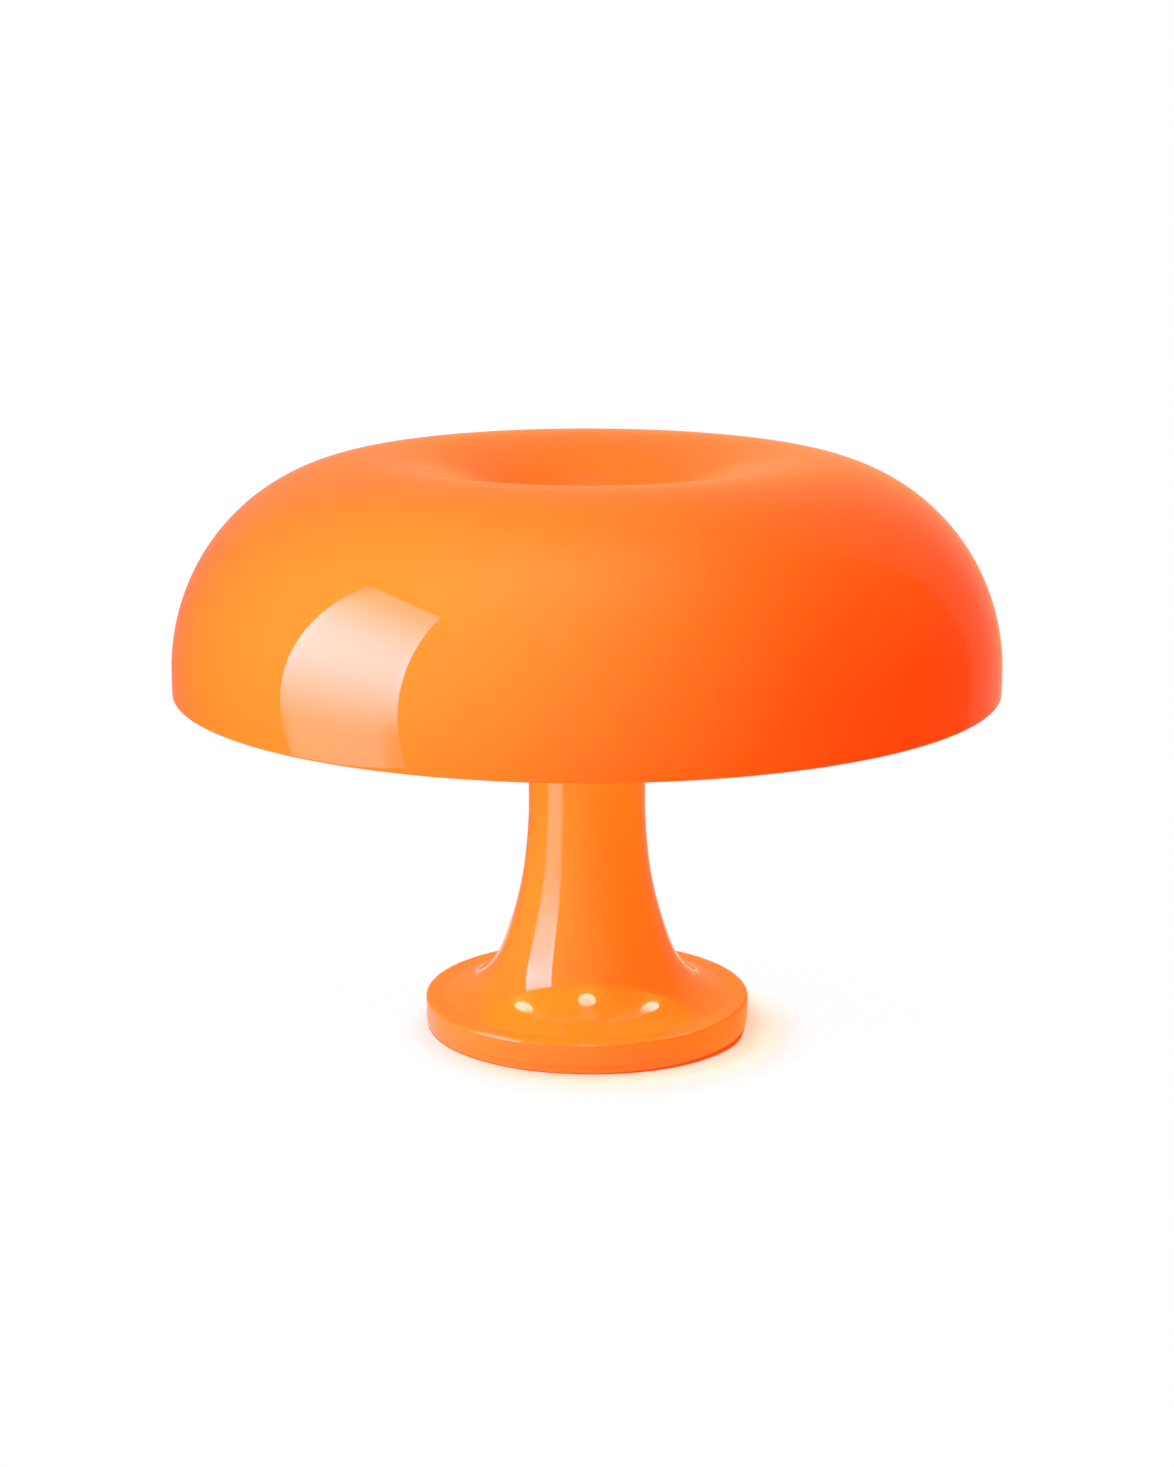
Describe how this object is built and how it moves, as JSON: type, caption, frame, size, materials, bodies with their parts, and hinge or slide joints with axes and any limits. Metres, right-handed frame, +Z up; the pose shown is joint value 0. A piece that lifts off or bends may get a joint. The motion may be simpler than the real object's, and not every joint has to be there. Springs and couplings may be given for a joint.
{
  "type": "mushroom table lamp",
  "caption": "Mushroom table lamp: a glossy orange dome shade with a central funnel on a flared stem and round foot, lit by small globe bulbs.",
  "frame": {"origin": "middle of the underside, on the surface the lamp stands on", "axes": "+Z up along the stem, -Y to the front, the cord inlet at +Y"},
  "size_m": [0.316, 0.316, 0.2237],
  "materials": {
    "orange_plastic": "glossy translucent moulded plastic",
    "black_rubber": "matt moulded rubber",
    "grey_silicone": "soft silicone",
    "ballast_iron": "rough cast iron",
    "zinc_steel": "zinc plated",
    "white_enamel": "baked white paint",
    "white_plastic": "white heat-proof plastic",
    "white_ceramic": "unglazed ceramic",
    "brass": "bare brass",
    "lead_sleeve": "heat-proof wire sleeve",
    "board_plastic": "moulded terminal block",
    "nickel": "nickel plated",
    "bulb_plastic": "white heat-sink plastic",
    "opal_glow": "lit opal",
    "fibre": "pressed fibre"
  },
  "bodies": {
    "base": {"stem_foot": "orange_plastic", "base_plate": "orange_plastic", "non_slip_ring": "black_rubber", "cord_grommet": "black_rubber", "shade_gasket": "grey_silicone", "ballast_weight": "ballast_iron", "base_screws": "zinc_steel", "tie_rod": "zinc_steel", "lower_washer": "zinc_steel", "lower_nut": "zinc_steel", "hub_washer": "zinc_steel", "hub_nut": "zinc_steel", "holder_nipples": "zinc_steel", "nipple_locknuts": "zinc_steel", "holder_hub": "white_enamel", "hub_cover": "white_enamel", "holder_dome_1": "white_plastic", "holder_dome_2": "white_plastic", "holder_dome_3": "white_plastic", "holder_dome_4": "white_plastic", "holder_skirt_1": "white_plastic", "holder_skirt_2": "white_plastic", "holder_skirt_3": "white_plastic", "holder_skirt_4": "white_plastic", "holder_insert_1": "white_ceramic", "holder_insert_2": "white_ceramic", "holder_insert_3": "white_ceramic", "holder_insert_4": "white_ceramic", "holder_shell_1": "brass", "holder_shell_2": "brass", "holder_shell_3": "brass", "holder_shell_4": "brass", "holder_contact_1": "brass", "holder_contact_2": "brass", "holder_contact_3": "brass", "holder_contact_4": "brass", "terminal_screws": "brass", "supply_leads": "lead_sleeve", "holder_leads_1": "lead_sleeve", "holder_leads_2": "lead_sleeve", "holder_leads_3": "lead_sleeve", "holder_leads_4": "lead_sleeve", "terminal_board": "board_plastic"},
    "shade": {"shade": "orange_plastic", "shade_funnel": "orange_plastic", "knob_washer": "fibre"},
    "knob": {"shade_knob": "orange_plastic", "knob_insert": "brass"},
    "bulb_1": {"bulb_cap_1": "nickel", "bulb_collar_1": "bulb_plastic", "bulb_globe_1": "opal_glow"},
    "bulb_2": {"bulb_cap_2": "nickel", "bulb_collar_2": "bulb_plastic", "bulb_globe_2": "opal_glow"},
    "bulb_3": {"bulb_cap_3": "nickel", "bulb_collar_3": "bulb_plastic", "bulb_globe_3": "opal_glow"},
    "bulb_4": {"bulb_cap_4": "nickel", "bulb_collar_4": "bulb_plastic", "bulb_globe_4": "opal_glow"}
  },
  "joints": [
    {"name": "shade_lift", "type": "slide", "parent": "base", "child": "shade", "axis": [0, 0, 1], "range_m": [0, 0.07]},
    {"name": "knob_turn", "type": "hinge", "parent": "shade", "child": "knob", "pos_m": [0, 0, 0.185], "axis": [0, 0, 1], "continuous": true},
    {"name": "bulb_1_out", "type": "slide", "parent": "base", "child": "bulb_1", "axis": [0, -1, 0], "range_m": [0, 0.017]},
    {"name": "bulb_2_out", "type": "slide", "parent": "base", "child": "bulb_2", "axis": [1, 0, 0], "range_m": [0, 0.017]},
    {"name": "bulb_3_out", "type": "slide", "parent": "base", "child": "bulb_3", "axis": [0, 1, 0], "range_m": [0, 0.017]},
    {"name": "bulb_4_out", "type": "slide", "parent": "base", "child": "bulb_4", "axis": [-1, 0, 0], "range_m": [0, 0.017]}
  ]
}
